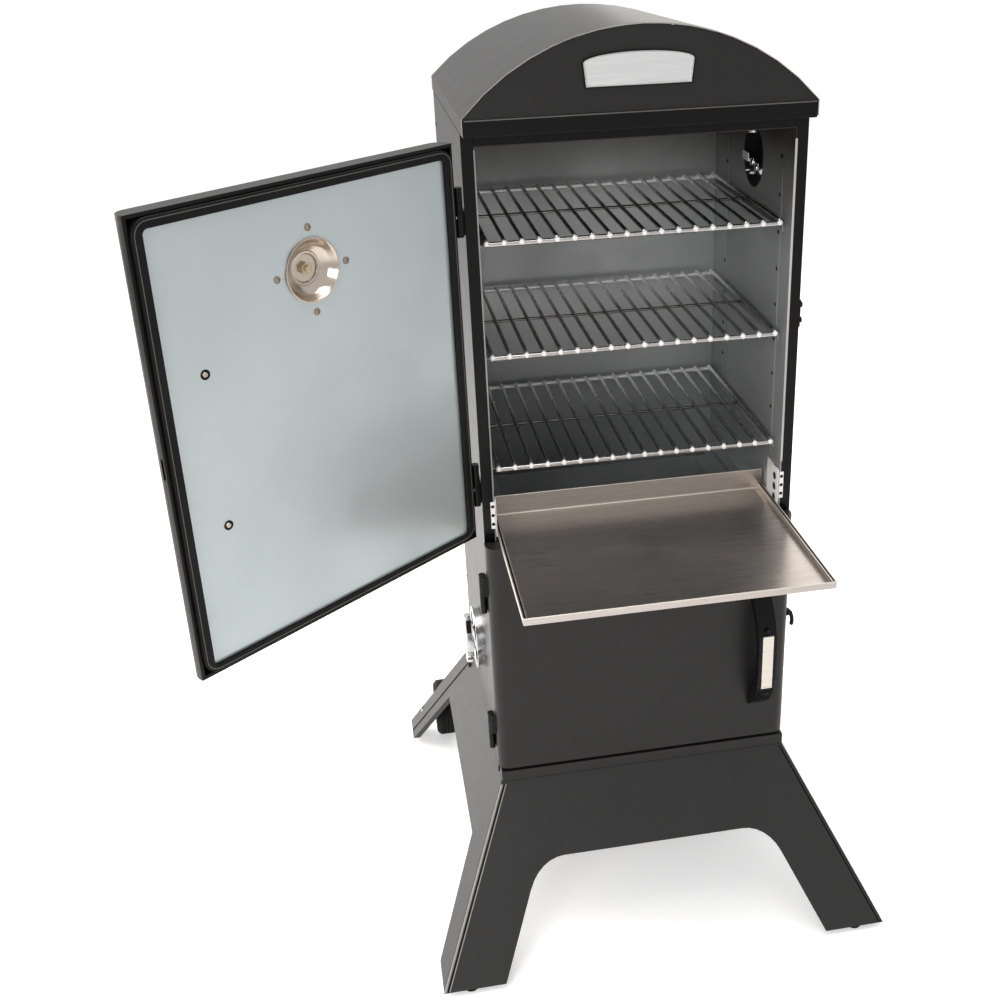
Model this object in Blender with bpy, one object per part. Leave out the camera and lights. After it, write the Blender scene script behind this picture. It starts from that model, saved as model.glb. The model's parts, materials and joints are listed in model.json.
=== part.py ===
"""A vertical cabinet smoker, at rest with its upper door open and its serving tray pulled out.

A double-walled steel cabinet stands on a splayed base with two feet in front and two wheels behind.
Three wire racks slide on ledges in the upper chamber. The lower chamber holds a water pan, a fuel
basket and an ash pan. Each chamber has a door on the left, and a turning damper draws air in low on
the left and lets smoke out high on the right.

Metres, +Z up. The front faces -Y. Every piece is drawn in the cabinet's own coordinates, whose y = 0
is the front face of the cabinet and whose z = 0 is the floor; the empty "frame" then centres it all.
"""

import math

import bmesh
import bpy
from mathutils import Matrix, Vector

# ---------------------------------------------------------------- driving dimensions

SHEET = 0.0012  # steel sheet
GAP = 0.0003  # between pieces that touch
HALF = 0.215  # half the cabinet's width
DEPTH = 0.360  # cabinet, front to back
WALL = 0.016  # from the outer skin to the inner face of the liner
INNER = HALF - WALL  # half the width of the chambers
LINER_BACK = 0.335

BASE_TOP = 0.241
LOWER_DOOR = (0.266, 0.6265)
UPPER_DOOR = (0.6385, 1.158)
HOOD_BOTTOM = 1.166
HOOD_EAVE = 1.187  # where the arch starts
HOOD_TOP = 1.284
HOOD_HALF = 0.2156
HOOD_Y = (-0.0290, 0.3650)
HOOD_FALL = 0.098  # the share of its rise that the arch loses towards the back
CEILING = 1.150

DOOR_BACK = -0.0043  # the doors' inner plane when closed
DOOR_FRONT = -0.0275
DOOR_HINGE_SIDE = -0.2166
DOOR_FREE_SIDE = 0.2135
DOOR_RIM = (0.0030, 0.0042)  # its width on the hinge side, and on the other three sides
DOOR_ROUND = 0.016  # radius of the doors' upright front edges
PANEL_X = (-0.2018, 0.1962)
GASKET_X = (-0.2130, 0.2087)
HINGE_AXIS = (-0.2218, DOOR_BACK)
UPPER_DOOR_OPEN = math.radians(141.4)

LEG_BOTTOM = 0.009
ARCH_TOP = 0.1445
FLARE = 0.496  # how far each base panel leans out, per metre of drop, sideways
FLARE_FRONT = 0.674
FLARE_BACK = 0.550
BASE_FRONT = -0.0215  # the front panel's face at BASE_TOP
BASE_BACK = 0.3545
BASE_HALF = 0.2130  # the side panels' faces at BASE_TOP
BASE_SHEET = 0.0016
SEAM = 0.0020  # the gap behind the front panel's edges
WHEEL_RADIUS = 0.050
WHEEL_X = (0.2500, 0.2825)
WHEEL_Y = 0.452

RACK_HEIGHTS = (1.0275, 0.8790, 0.7225)  # centre of each rack's frame wire
RACK_HALF = 0.1935
RACK_Y = (0.018, 0.318)
RACK_WIRES = 18
TRAY_Z = (0.628, 0.637)
TRAY_HALF = 0.1960
TRAY_Y = (-0.226, 0.068)
TRAY_BACK_TOP = 0.6585

HANDLE_LENGTH = 0.196
HANDLE_REACH = 0.044
HANDLE_WIDTH = 0.026
HANDLE_PLATE = (0.0078, 0.086)  # half its width, and its length
UPPER_HANDLE = (0.1507, 0.8937)  # x and the middle height
LOWER_HANDLE = (0.1675, 0.4222)
DIAL = (0.0010, 1.0565)  # x and z of the thermometer's centre
DIAL_RADIUS = 0.0355

INTAKE = (0.146, 0.386)  # y and z of the dampers' centres
INTAKE_RADIUS = 0.0500
EXHAUST = (0.162, 1.086)
EXHAUST_RADIUS = 0.0500
HOUSING = 0.0090  # how far the damper housings stand off the wall

UPPER_HINGES = (1.0755, 0.7140)
LOWER_HINGES = (0.5490, 0.3220)
HINGE_HEIGHT = 0.060
KNUCKLE_RADIUS = 0.0048

# ---------------------------------------------------------------- materials

COLOURS = {  # base colour, roughness, metallic
    "charcoal_paint": ((0.030, 0.030, 0.032), 0.45, 0.3),
    "black_paint": ((0.012, 0.012, 0.013), 0.5, 0.0),
    "liner_steel": ((0.30, 0.34, 0.35), 0.4, 0.9),
    "door_liner": ((0.45, 0.50, 0.50), 0.35, 0.8),
    "brushed_steel": ((0.42, 0.39, 0.36), 0.35, 1.0),
    "chrome": ((0.80, 0.80, 0.80), 0.12, 1.0),
    "gasket": ((0.010, 0.010, 0.010), 0.7, 0.0),
    "rubber": ((0.015, 0.015, 0.015), 0.8, 0.0),
    "dial_glass": ((0.80, 0.82, 0.82), 0.1, 0.0),
}


def make_material(name):
    colour, roughness, metallic = COLOURS[name]
    material = bpy.data.materials.new(name)
    material.use_nodes = True
    shader = material.node_tree.nodes["Principled BSDF"]
    shader.inputs["Base Color"].default_value = (*colour, 1.0)
    shader.inputs["Roughness"].default_value = roughness
    shader.inputs["Metallic"].default_value = metallic
    return material


# ---------------------------------------------------------------- shapes


class Body:
    """The pieces that move together: an empty on the joint's axis, turned to the rest pose."""

    def __init__(self, name, axis=(0, 0, 0), turn=0.0):
        self.axis = Vector(axis)
        self.empty = bpy.data.objects.new(name, None)
        self.empty.empty_display_size = 0.05
        self.empty.location = self.axis
        self.empty.rotation_euler = (0, 0, turn)
        bpy.context.scene.collection.objects.link(self.empty)

    def hold(self, piece):
        piece.parent = self.empty
        piece.location = -self.axis


def shade(mesh):
    """Smooth over gentle angles only."""
    mesh.shade_smooth()
    mesh.set_sharp_from_angle(angle=math.radians(40))


def to_object(name, shape, material, body=None):
    """Turns a bmesh into an object."""
    bmesh.ops.recalc_face_normals(shape, faces=shape.faces)
    mesh = bpy.data.meshes.new(name)
    shape.to_mesh(mesh)
    shape.free()
    shade(mesh)
    piece = bpy.data.objects.new(name, mesh)
    bpy.context.scene.collection.objects.link(piece)
    if material:
        mesh.materials.append(bpy.data.materials[material])
    if body:
        body.hold(piece)
    return piece


def box(name, low, high, material=None, body=None):
    shape = bmesh.new()
    bmesh.ops.create_cube(shape, size=1.0)
    size = Vector(high) - Vector(low)
    middle = (Vector(high) + Vector(low)) / 2
    bmesh.ops.transform(shape, matrix=Matrix.Translation(middle) @ Matrix.Diagonal((*size, 1)), verts=shape.verts)
    return to_object(name, shape, material, body)


def prism(name, outline, along, low, high, material=None, body=None, lean=None):
    """Extrudes an outline along an axis. The outline's points give the other two axes, in order.

    lean(x, y, z) moves a point after the extrusion, for panels that stand at a slant.
    """
    shape = bmesh.new()
    place = {
        "x": lambda a, b, c: Vector((c, a, b)),
        "y": lambda a, b, c: Vector((a, c, b)),
        "z": lambda a, b, c: Vector((a, b, c)),
    }[along]
    face = shape.faces.new([shape.verts.new(place(a, b, low)) for a, b in outline])
    grown = bmesh.ops.extrude_face_region(shape, geom=[face])
    tops = [item for item in grown["geom"] if isinstance(item, bmesh.types.BMVert)]
    bmesh.ops.translate(shape, verts=tops, vec=place(0, 0, high - low))
    if lean:
        for vertex in shape.verts:
            vertex.co = lean(*vertex.co)
    return to_object(name, shape, material, body)


def rod(name, start, end, radius, sides=12, material=None, body=None, end_radius=None):
    """A round or many-sided bar from start to end."""
    start, end = Vector(start), Vector(end)
    shape = bmesh.new()
    turn = Vector((0, 0, 1)).rotation_difference(end - start).to_matrix().to_4x4()
    bmesh.ops.create_cone(
        shape,
        cap_ends=True,
        segments=sides,
        radius1=radius,
        radius2=radius if end_radius is None else end_radius,
        depth=(end - start).length,
        matrix=Matrix.Translation((start + end) / 2) @ turn,
    )
    return to_object(name, shape, material, body)


def combine(piece, others, operation):
    """Joins other shapes to a piece, or cuts them from it, and removes them."""
    for other in others:
        other.location = piece.location
        other.parent = piece.parent
        step = piece.modifiers.new(operation.lower(), "BOOLEAN")
        step.operation = operation
        step.object = other
    graph = bpy.context.evaluated_depsgraph_get()
    graph.update()
    mesh = bpy.data.meshes.new_from_object(piece.evaluated_get(graph))
    piece.modifiers.clear()
    shade(mesh)
    piece.data = mesh
    for other in others:
        bpy.data.objects.remove(other)
    return piece


def fuse(piece, *others):
    return combine(piece, others, "UNION")


def cut(piece, *others):
    return combine(piece, others, "DIFFERENCE")


def arc(centre, radius, start, end, steps):
    """Points along a circular arc, angles in degrees."""
    angles = [math.radians(start + (end - start) * i / steps) for i in range(steps + 1)]
    return [(centre[0] + radius * math.cos(a), centre[1] + radius * math.sin(a)) for a in angles]


def rounded_rectangle(low, high, radius, steps=5):
    (a0, b0), (a1, b1) = low, high
    return (
        arc((a1 - radius, b1 - radius), radius, 0, 90, steps)
        + arc((a0 + radius, b1 - radius), radius, 90, 180, steps)
        + arc((a0 + radius, b0 + radius), radius, 180, 270, steps)
        + arc((a1 - radius, b0 + radius), radius, 270, 360, steps)
    )


def open_box(name, low, high, wall, material, body, floor=None):
    """A box without a lid."""
    floor = wall if floor is None else floor
    tub = box(name, low, high, material, body)
    hollow = box("hollow", (low[0] + wall, low[1] + wall, low[2] + floor), (high[0] - wall, high[1] - wall, high[2] + 1))
    return cut(tub, hollow)


# ---------------------------------------------------------------- cabinet


def make_walls(cabinet):
    """Outer sides with a front return, the back, and the liner inside them."""
    for side, name in ((-1, "left"), (1, "right")):
        vent_y, vent_z = INTAKE if side < 0 else EXHAUST
        vent_radius = (INTAKE_RADIUS if side < 0 else EXHAUST_RADIUS) - 0.0080
        skin, inner = side * HALF, side * (INNER + SHEET)
        outline = [
            (skin, 0),
            (skin, DEPTH - SHEET - GAP),
            (skin - side * SHEET, DEPTH - SHEET - GAP),
            (skin - side * SHEET, SHEET),
            (inner + side * GAP, SHEET),
            (inner + side * GAP, 0),
        ]
        shell = prism(f"shell_{name}", outline, "z", BASE_TOP + SHEET + GAP, HOOD_BOTTOM, "charcoal_paint", cabinet)
        liner = box(
            f"liner_{name}",
            (min(side * INNER, inner), 0, BASE_TOP + 2 * SHEET),
            (max(side * INNER, inner), LINER_BACK, CEILING - GAP),
            "liner_steel",
            cabinet,
        )
        for panel in (shell, liner):
            cut(panel, rod("hole", (side * 0.15, vent_y, vent_z), (side * 0.30, vent_y, vent_z), vent_radius, 28))

    low, shoulder, tucked = BASE_TOP + SHEET + GAP, HOOD_BOTTOM - GAP, HALF - SHEET - GAP
    back = [(-HALF, low), (HALF, low), (HALF, shoulder), (tucked, shoulder)]
    back += arch_outline(tucked, 0.0028) + [(-tucked, shoulder), (-HALF, shoulder)]
    prism("shell_back", back, "y", DEPTH - SHEET, DEPTH, "charcoal_paint", cabinet, fall_back)
    box(
        "liner_back",
        (-INNER + GAP, LINER_BACK - SHEET, BASE_TOP + 2 * SHEET),
        (INNER - GAP, LINER_BACK, CEILING - GAP),
        "liner_steel",
        cabinet,
    )
    box("liner_top", (-INNER - SHEET, 0, CEILING), (INNER + SHEET, LINER_BACK, CEILING + SHEET), "liner_steel", cabinet)


def make_front_frame(cabinet):
    """The bars above, between and below the two doorways, and the floor."""
    depth = 0.018
    box(
        "front_header",
        (-INNER - SHEET, 0, CEILING + SHEET + GAP),
        (INNER + SHEET, depth, HOOD_BOTTOM - GAP),
        "charcoal_paint",
        cabinet,
    )
    box(
        "mid_rail",
        (-INNER + GAP, 0, LOWER_DOOR[1] - 0.026),
        (INNER - GAP, depth, TRAY_Z[0] - 0.0006),
        "charcoal_paint",
        cabinet,
    )
    sill_front = DOOR_FRONT + 0.0010
    box(
        "front_sill",
        (-BASE_HALF, sill_front, BASE_TOP + SHEET + GAP),
        (BASE_HALF, -GAP, LOWER_DOOR[0] - 0.0055),
        "charcoal_paint",
        cabinet,
    )
    box(
        "floor_pan",
        (-BASE_HALF, BASE_FRONT - 0.0005, BASE_TOP),
        (BASE_HALF, DEPTH - 0.0045, BASE_TOP + SHEET),
        "charcoal_paint",
        cabinet,
    )


# ---------------------------------------------------------------- hood


def arch_height(x, half=HOOD_HALF, top=HOOD_TOP):
    """Height of the hood's circular arch above x."""
    rise = top - HOOD_EAVE
    radius = (half * half + rise * rise) / (2 * rise)
    return top - radius + math.sqrt(radius * radius - x * x)


def arch_outline(half, below, steps=16):
    """Points of the arch from +half to -half, a little below its outer face."""
    xs = [half * (1 - 2 * i / steps) for i in range(steps + 1)]
    return [(x, arch_height(x) - below) for x in xs]


def fall_back(x, y, z):
    """Lowers the arch a little towards the back."""
    part = (y - HOOD_Y[0]) / (HOOD_Y[1] - HOOD_Y[0])
    return Vector((x, y, z - max(z - HOOD_EAVE, 0) * HOOD_FALL * part))


def make_hood(cabinet):
    half = HOOD_HALF
    sheet = 0.0015
    front, back = HOOD_Y
    outer = [(half, HOOD_BOTTOM + 0.002)] + arch_outline(half, 0) + [(-half, HOOD_BOTTOM + 0.002)]
    inner_half = half - sheet
    inner = [(inner_half, HOOD_BOTTOM + 0.002)] + arch_outline(inner_half, sheet) + [(-inner_half, HOOD_BOTTOM + 0.002)]
    prism("hood_wrap", outer + inner[::-1], "y", front, back, "charcoal_paint", cabinet, fall_back)

    face = inner_half - GAP
    outline = [(-face, HOOD_BOTTOM), (face, HOOD_BOTTOM)] + arch_outline(face, sheet + 2 * GAP)
    plate = prism("hood_front", outline, "y", front + 0.0018, front + 0.0033, "charcoal_paint", cabinet)
    soffit = box("soffit", (-face, front + 0.0020, HOOD_BOTTOM), (face, -0.0005, HOOD_BOTTOM + sheet))
    fuse(plate, soffit)
    box(
        "hood_band",
        (-face + 0.0006, front - 0.0010, HOOD_BOTTOM),
        (face - 0.0006, front + 0.0015, HOOD_EAVE - 0.002),
        "charcoal_paint",
        cabinet,
    )


def make_badge(cabinet):
    """A plain plate with an arched top on the hood."""
    low, shoulder, top, half = 1.2155, 1.2425, 1.2535, 0.066
    crown = [(half * math.cos(a), shoulder + (top - shoulder) * math.sin(a)) for a in
             [math.pi * i / 12 for i in range(13)]]
    outline = [(x - 0.006, z) for x, z in [(-half + 0.003, low), (half - 0.003, low)] + crown]
    prism("badge", outline, "y", -0.0300, -0.0275, "brushed_steel", cabinet)


# ---------------------------------------------------------------- base


def lean_front(x, y, z):
    return Vector((x, y - (BASE_TOP - z) * FLARE_FRONT, z))


def lean_back(x, y, z):
    return Vector((x, y + (BASE_TOP - z) * FLARE_BACK, z))


def base_edge(z, inset):
    """Half the width of the front or rear base panel at height z."""
    return BASE_HALF + (BASE_TOP - z) * FLARE - inset


def leg_panel_outline(leg_width, leg_bottom, radius, inset):
    """A panel with two legs and a round-cornered arch between them."""
    top = BASE_TOP - GAP
    foot = base_edge(leg_bottom, inset)
    inner_foot = foot - leg_width
    leg_angle = math.degrees(math.atan2(1, FLARE))
    reach = radius * math.tan(math.radians(leg_angle / 2))
    corner = inner_foot - (ARCH_TOP - leg_bottom) * FLARE
    centre = (corner - reach, ARCH_TOP - radius)
    curve = arc(centre, radius, 90 - leg_angle, 90, 6)
    right = [(inner_foot, leg_bottom)] + curve
    left = [(-x, z) for x, z in right[::-1]]
    return [(base_edge(top, inset), top), (foot, leg_bottom)] + right + left + [
        (-foot, leg_bottom),
        (-base_edge(top, inset), top),
    ]


def make_base_ends(cabinet):
    """Front and rear panels. The rear panel's legs are short: they end above the wheels."""
    front = prism(
        "base_front",
        leg_panel_outline(0.089, LEG_BOTTOM, 0.060, 0),
        "y",
        BASE_FRONT,
        BASE_FRONT + BASE_SHEET,
        "charcoal_paint",
        cabinet,
        lean_front,
    )
    foot_y = BASE_FRONT - (BASE_TOP - LEG_BOTTOM) * FLARE_FRONT
    for side in (-1, 1):
        xs = sorted((side * 0.252, side * (base_edge(LEG_BOTTOM + 0.003, BASE_SHEET) - 0.004)))
        pad = box("pad", (xs[0], foot_y + 0.0012, LEG_BOTTOM), (xs[1], foot_y + 0.045, LEG_BOTTOM + 0.002))
        fuse(front, pad)

    prism(
        "base_back",
        leg_panel_outline(0.040, WHEEL_RADIUS * 2 + 0.012, 0.030, 0),
        "y",
        BASE_BACK - BASE_SHEET,
        BASE_BACK,
        "charcoal_paint",
        cabinet,
        lean_back,
    )


def make_base_sides(cabinet):
    """Side panels whose ends run down the legs as flanges."""
    front_top, back_top = BASE_FRONT + BASE_SHEET + SEAM, BASE_BACK - BASE_SHEET - GAP
    front_foot = front_top - (BASE_TOP - LEG_BOTTOM) * FLARE_FRONT
    back_foot = back_top + (BASE_TOP - LEG_BOTTOM) * FLARE_BACK
    outline = [
        (front_top, BASE_TOP - GAP),
        (front_foot, LEG_BOTTOM),
        (front_foot + 0.059, LEG_BOTTOM),
        (-0.009, ARCH_TOP - 0.001),
        (0.345, ARCH_TOP - 0.001),
        (back_foot - 0.058, LEG_BOTTOM),
        (back_foot, LEG_BOTTOM),
        (back_top, BASE_TOP - GAP),
    ]
    opening = outline[2:6]
    hem = opening + [(y + shift, z + rise) for (y, z), shift, rise in
                     zip(opening[::-1], (0.0018, 0.0010, -0.0010, -0.0018), (0, 0.0016, 0.0016, 0))]
    for side, name in ((-1, "left"), (1, "right")):

        def splay(x, y, z, side=side):
            return Vector((x + side * (BASE_TOP - z) * FLARE, y, z))

        xs = sorted((side * BASE_HALF, side * (BASE_HALF - BASE_SHEET)))
        panel = prism(f"base_{name}", outline, "x", *xs, "charcoal_paint", cabinet, splay)
        xs = sorted((side * (BASE_HALF - 0.0005), side * (BASE_HALF - 0.0120)))
        fuse(panel, prism("hem", hem, "x", *xs, lean=splay))
        hole = rod(
            "hole",
            (side * 0.28, WHEEL_Y, WHEEL_RADIUS),
            (side * 0.34, WHEEL_Y, WHEEL_RADIUS),
            0.0053,
            12,
        )
        cut(panel, hole)


def make_feet(cabinet):
    foot_y = BASE_FRONT - (BASE_TOP - LEG_BOTTOM) * FLARE_FRONT + 0.0150
    for side, name in ((-1, "left"), (1, "right")):
        rod(
            f"foot_{name}",
            (side * 0.288, foot_y, 0),
            (side * 0.288, foot_y, LEG_BOTTOM - GAP),
            0.0105,
            20,
            "rubber",
            cabinet,
            0.0125,
        )


def make_wheels(cabinet, wheels):
    middle = (WHEEL_Y, WHEEL_RADIUS)
    rod("axle", (-0.3068, *middle), (0.3068, *middle), 0.0050, 12, "black_paint", cabinet)
    for side, name, body in ((-1, "left", wheels[0]), (1, "right", wheels[1])):
        near, far = side * WHEEL_X[0], side * WHEEL_X[1]
        tyre = rod(f"wheel_{name}", (near, *middle), (far - side * 0.006, *middle), WHEEL_RADIUS, 32, "rubber", body)
        shoulder = rod(
            "shoulder",
            (far - side * 0.0061, *middle),
            (far, *middle),
            WHEEL_RADIUS - 0.0001,
            32,
            end_radius=WHEEL_RADIUS - 0.006,
        )
        bore = rod("bore", (side * 0.2, *middle), (side * 0.34, *middle), 0.0054, 12)
        dish = rod("dish", (far - side * 0.006, *middle), (far + side * 0.01, *middle), 0.030, 24)
        hub = rod("hub", (far - side * 0.008, *middle), (far, *middle), 0.011, 16)
        fuse(tyre, shoulder)
        cut(tyre, dish)
        fuse(tyre, hub)
        cut(tyre, bore)


# ---------------------------------------------------------------- chambers


def make_rack(name, height, material, body):
    """A frame of four wires, a cross bar, and wires running front to back on top of them."""
    thick, thin = 0.0030, 0.0023
    front, back = RACK_Y
    corner = RACK_HALF - thick
    ends = ((-corner, front), (corner, front), (corner, back), (-corner, back))
    frame = prism(
        name,
        rounded_rectangle((-RACK_HALF, front - thick), (RACK_HALF, back + thick), 0.010, 2),
        "z",
        height - thick,
        height + thick,
        material,
        body,
    )
    window = prism(
        "window",
        rounded_rectangle((-RACK_HALF + 2 * thick, front + thick), (RACK_HALF - 2 * thick, back - thick), 0.005, 1),
        "z",
        height - 1,
        height + 1,
    )
    cut(frame, window)
    middle = (front + back) / 2
    bars = [rod("bar", (-corner, middle, height), (corner, middle, height), thin, 6)]
    spacing = 2 * (RACK_HALF - 2 * thick) / (RACK_WIRES - 1)
    for i in range(RACK_WIRES):
        x = -RACK_HALF + 2 * thick + i * spacing
        x = max(min(x, corner - thin), -corner + thin)
        bars.append(rod("bar", (x, front - 0.0032, height + 0.0035), (x, back + 0.0020, height + 0.0035), thin, 6))
    return fuse(frame, *bars)


def make_racks(bodies, cabinet):
    """Racks, and the ledges that carry them."""
    first = make_rack("rack_1", RACK_HEIGHTS[0], "chrome", bodies[0])
    for number in (2, 3):
        rack = bpy.data.objects.new(f"rack_{number}", first.data.copy())
        rack.data.transform(Matrix.Translation((0, 0, RACK_HEIGHTS[number - 1] - RACK_HEIGHTS[0])))
        bpy.context.scene.collection.objects.link(rack)
        bodies[number - 1].hold(rack)
    for side, name in ((-1, "left"), (1, "right")):
        support = box("upright", *upright_corners(side, 0.046), "liner_steel", cabinet)
        support.name = f"rack_support_{name}"
        fuse(support, box("upright", *upright_corners(side, 0.274)), *[ledge(side, height) for height in RACK_HEIGHTS])


def upright_corners(side, y):
    xs = sorted((side * (INNER - GAP), side * (INNER - 0.0013)))
    return (xs[0], y - 0.007, 0.6960), (xs[1], y + 0.007, 1.0950)


def ledge(side, height):
    """A folded ledge under one side of a rack."""
    top = height - 0.0030 - GAP
    outline = [
        (side * (INNER - GAP), top),
        (side * (INNER - 0.0125), top),
        (side * (INNER - 0.0125), top - 0.0015),
        (side * (INNER - 0.0018), top - 0.0015),
        (side * (INNER - 0.0018), top - 0.0110),
        (side * (INNER - GAP), top - 0.0110),
    ]
    return prism("ledge", outline, "y", 0.030, 0.300)


def make_tray(tray, cabinet):
    """The pull-out serving tray, its runners, and the drilled brackets beside it."""
    low, high = TRAY_Z
    wall = 0.0012
    (front, back) = TRAY_Y
    pan = open_box("tray", (-TRAY_HALF, front, low), (TRAY_HALF, back, high), wall, "brushed_steel", tray)
    upstand = box("upstand", (-TRAY_HALF, back - wall, low + 0.001), (TRAY_HALF, back, TRAY_BACK_TOP))
    fuse(pan, upstand)
    for side, name in ((-1, "left"), (1, "right")):
        runner = [
            (side * (INNER - GAP), low - 0.0006),
            (side * (INNER - 0.014), low - 0.0006),
            (side * (INNER - 0.014), low - 0.0021),
            (side * (INNER - 0.0018), low - 0.0021),
            (side * (INNER - 0.0018), low - 0.0485),
            (side * (INNER - 0.016), low - 0.0485),
            (side * (INNER - 0.016), low - 0.0500),
            (side * (INNER - GAP), low - 0.0500),
        ]
        prism(f"tray_runner_{name}", runner, "y", 0.0185, 0.322, "liner_steel", cabinet)
        plate_low, plate_high = 0.6300, 0.6870
        outline = rounded_rectangle((0.0020, plate_low), (0.0300, plate_high), 0.0125, 6)
        xs = sorted((side * (INNER - GAP), side * (INNER - 0.0024)))
        plate = prism(f"tray_bracket_{name}", outline, "x", xs[0], xs[1], "brushed_steel", cabinet)
        holes = [
            rod("hole", (side * 0.18, 0.0150, z), (side * 0.21, 0.0150, z), 0.0036, 10)
            for z in (0.6400, 0.6560, 0.6720)
        ]
        cut(plate, *holes)


def make_pans(cabinet):
    """Water pan on the lower lips of the runners, fuel basket and ash pan below it."""
    shelf = TRAY_Z[0] - 0.0485
    pan = open_box("water_pan", (-0.165, 0.045, 0.515), (0.165, 0.300, shelf + 0.0018), 0.0015, "liner_steel", cabinet)
    for side in (-1, 1):
        xs = sorted((side * 0.164, side * (INNER - 0.0030)))
        fuse(pan, box("rim", (xs[0], 0.045, shelf + GAP), (xs[1], 0.300, shelf + 0.0018)))

    basket = open_box("fuel_basket", (-0.145, 0.055, 0.345), (0.145, 0.290, 0.465), 0.0025, "black_paint", cabinet)
    legs = [
        box("leg", (x - 0.004, y - 0.004, BASE_TOP + 2 * SHEET), (x + 0.004, y + 0.004, 0.346))
        for x in (-0.141, 0.141)
        for y in (0.059, 0.286)
    ]
    fuse(basket, *legs)
    open_box("ash_pan", (-0.130, 0.035, BASE_TOP + 2 * SHEET), (0.130, 0.310, 0.285), 0.0015, "liner_steel", cabinet)


# ---------------------------------------------------------------- dampers


def make_damper(name, side, centre, radius, cabinet, disc_body):
    """A drilled housing that passes through the wall, and a drilled disc with a grip that turns on it."""
    y, z = centre

    def round_bar(start, end, size, sides=32, material=None, body=None, label="bar"):
        return rod(label, (side * start, y, z), (side * end, y, z), size, sides, material, body)

    def ports():
        ring, size = radius * 0.56, radius * 0.27
        turns = [math.pi * (0.25 + i / 2) for i in range(4)]
        places = [(y + ring * math.cos(turn), z + ring * math.sin(turn)) for turn in turns]
        return [rod("port", (side * 0.15, a, b), (side * 0.26, a, b), size, 16) for a, b in places]

    front = HALF + HOUSING
    bore = radius - 0.0100
    housing = round_bar(HALF + GAP, front, radius - 0.0060, 32, "chrome", cabinet, f"{name}_housing")
    fuse(housing, round_bar(INNER + 0.0003, HALF + 0.0010, radius - 0.0083))
    cut(housing, round_bar(0.15, front - 0.0018, bore))
    cut(housing, *ports())
    fuse(housing, round_bar(front - 0.0015, front + 0.0100, 0.0030, 12))

    inner_face, outer_face = front + GAP, front + 0.0019
    disc = round_bar(inner_face, outer_face, radius - 0.0020, 32, "chrome", disc_body, f"{name}_disc")
    cut(disc, *ports())
    wing = [(0.84, 0.0060), (0.80, 0.0140), (0.16, 0.0124)]
    outline = [(0.28, -0.0004)] + wing + [(-part, rise) for part, rise in wing[::-1]] + [(-0.28, -0.0004)]
    grip = [(side * (outer_face + rise), z + radius * part) for part, rise in outline]
    fuse(disc, prism("grip", grip, "y", y - 0.0055, y + 0.0055))
    cut(disc, round_bar(0.20, front + 0.0105, 0.0033, 12))


# ---------------------------------------------------------------- doors


def make_handle(name, place, body):
    """A bow handle: two feet on the door and a rounded grip between them."""
    x, middle = place
    steps, thick, foot = 14, 0.014, 0.020
    low = middle - HANDLE_LENGTH / 2

    def bow(start, length, reach):
        points = []
        for i in range(steps + 1):
            part = i / steps
            points.append((DOOR_FRONT - GAP - reach * (1 - abs(2 * part - 1) ** 3), start + length * part))
        return points

    outer = bow(low, HANDLE_LENGTH, HANDLE_REACH)
    inner = bow(low + foot, HANDLE_LENGTH - 2 * foot, HANDLE_REACH - thick)
    grip = prism(name, outer + inner[::-1], "x", x - HANDLE_WIDTH / 2, x + HANDLE_WIDTH / 2, "black_paint", body)
    front = DOOR_FRONT - GAP - HANDLE_REACH
    half, length = HANDLE_PLATE
    seat_half, seat_length = half + GAP, length + 2 * GAP
    seat = box(
        "seat",
        (x - seat_half, front - 0.01, middle - seat_length / 2),
        (x + seat_half, front + 0.0030, middle + seat_length / 2),
    )
    cut(grip, seat)
    box(
        f"{name}_plate",
        (x - half, front + 0.0004, middle - length / 2),
        (x + half, front + 0.0027, middle + length / 2),
        "brushed_steel",
        body,
    )


def door_section(hinge_inset, free_inset, front, back, radius):
    """The outline of a door seen from above, with round front corners."""
    left, right = DOOR_HINGE_SIDE + hinge_inset, DOOR_FREE_SIDE - free_inset
    corners = arc((left + radius, front + radius), radius, 180, 270, 6)
    corners += arc((right - radius, front + radius), radius, 270, 360, 6)
    return [(left, back)] + corners + [(right, back)]


def make_door_shell(name, heights, hinge_heights, body):
    """The outer skin with its rim turned back, and the door's half of each hinge."""
    low, high = heights
    near, rim = DOOR_RIM
    outer = door_section(0, 0, DOOR_FRONT, DOOR_BACK, DOOR_ROUND)
    inner = door_section(near, rim, DOOR_FRONT + SHEET, 0.1, DOOR_ROUND - rim)
    shell = prism(name, outer, "z", low, high, "charcoal_paint", body)
    cut(shell, prism("hollow", inner, "z", low + rim, high - rim))
    axis_x, axis_y = HINGE_AXIS
    for middle in hinge_heights:
        bottom, top = middle + GAP, middle + HINGE_HEIGHT / 2
        knuckle = rod("knuckle", (axis_x, axis_y, bottom), (axis_x, axis_y, top), KNUCKLE_RADIUS, 16)
        leaf = box(
            "leaf",
            (axis_x - 0.0010, axis_y - 0.0120, bottom),
            (DOOR_HINGE_SIDE + 0.0011, axis_y - 0.0030, top),
        )
        fuse(shell, leaf, knuckle)
        cut(shell, rod("bore", (axis_x, axis_y, bottom - 0.01), (axis_x, axis_y, top - 0.003), 0.0022, 12))
    return shell


def make_door_panel(name, heights, body, dial=None):
    """The flat inner panel."""
    low, high = heights
    left, right = PANEL_X
    outline = rounded_rectangle((left, low + 0.0117), (right, high - 0.0165), 0.0055)
    panel = prism(name, outline, "y", DOOR_BACK - 0.0026, DOOR_BACK - 0.0014, "door_liner", body)
    if dial:
        cut(panel, rod("hole", (dial[0], -0.05, dial[1]), (dial[0], 0.05, dial[1]), DIAL_RADIUS, 32))
    return panel


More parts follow.
